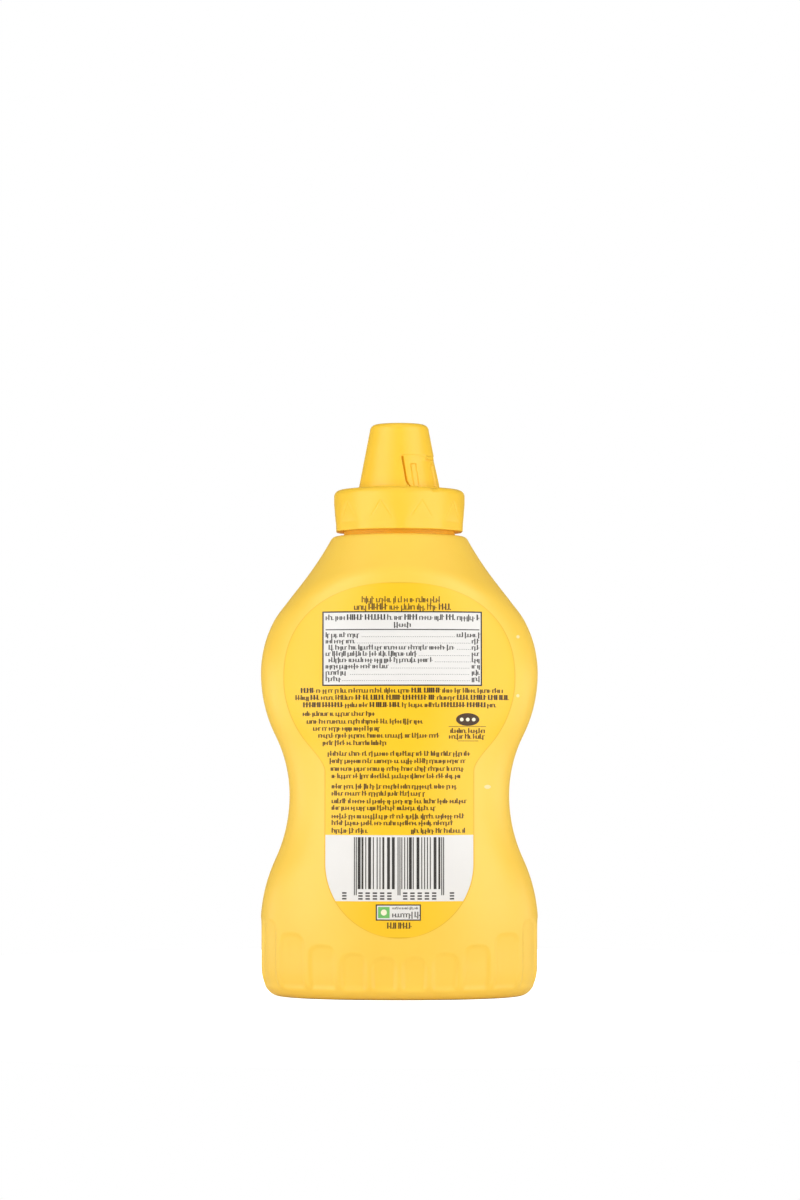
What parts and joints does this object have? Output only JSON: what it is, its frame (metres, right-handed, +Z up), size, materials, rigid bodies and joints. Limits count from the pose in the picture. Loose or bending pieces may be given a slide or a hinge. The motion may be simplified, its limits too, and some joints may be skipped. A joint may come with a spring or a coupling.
{
  "type": "mustard squeeze bottle",
  "caption": "Yellow hourglass squeeze bottle for mustard, shut, with a fluted base, a round shoulder, a screw cap with a tall cone, and a plain keyhole label on each broad side.",
  "frame": {"origin": "middle of the base, on the plane the bottle stands on", "axes": "+Z up along the bottle, +X across its width, -Y out of the side with the information label"},
  "size_m": [0.0844, 0.0562, 0.1744],
  "materials": {
    "bottle_plastic": "satin, soft squeezable plastic, opaque yellow",
    "cap_plastic": "satin, moulded plastic, warm yellow",
    "label_film": null
  },
  "bodies": {
    "root": {"bottle": "bottle_plastic", "cap": "cap_plastic", "info_label": "label_film", "front_label": "label_film"}
  },
  "joints": []
}
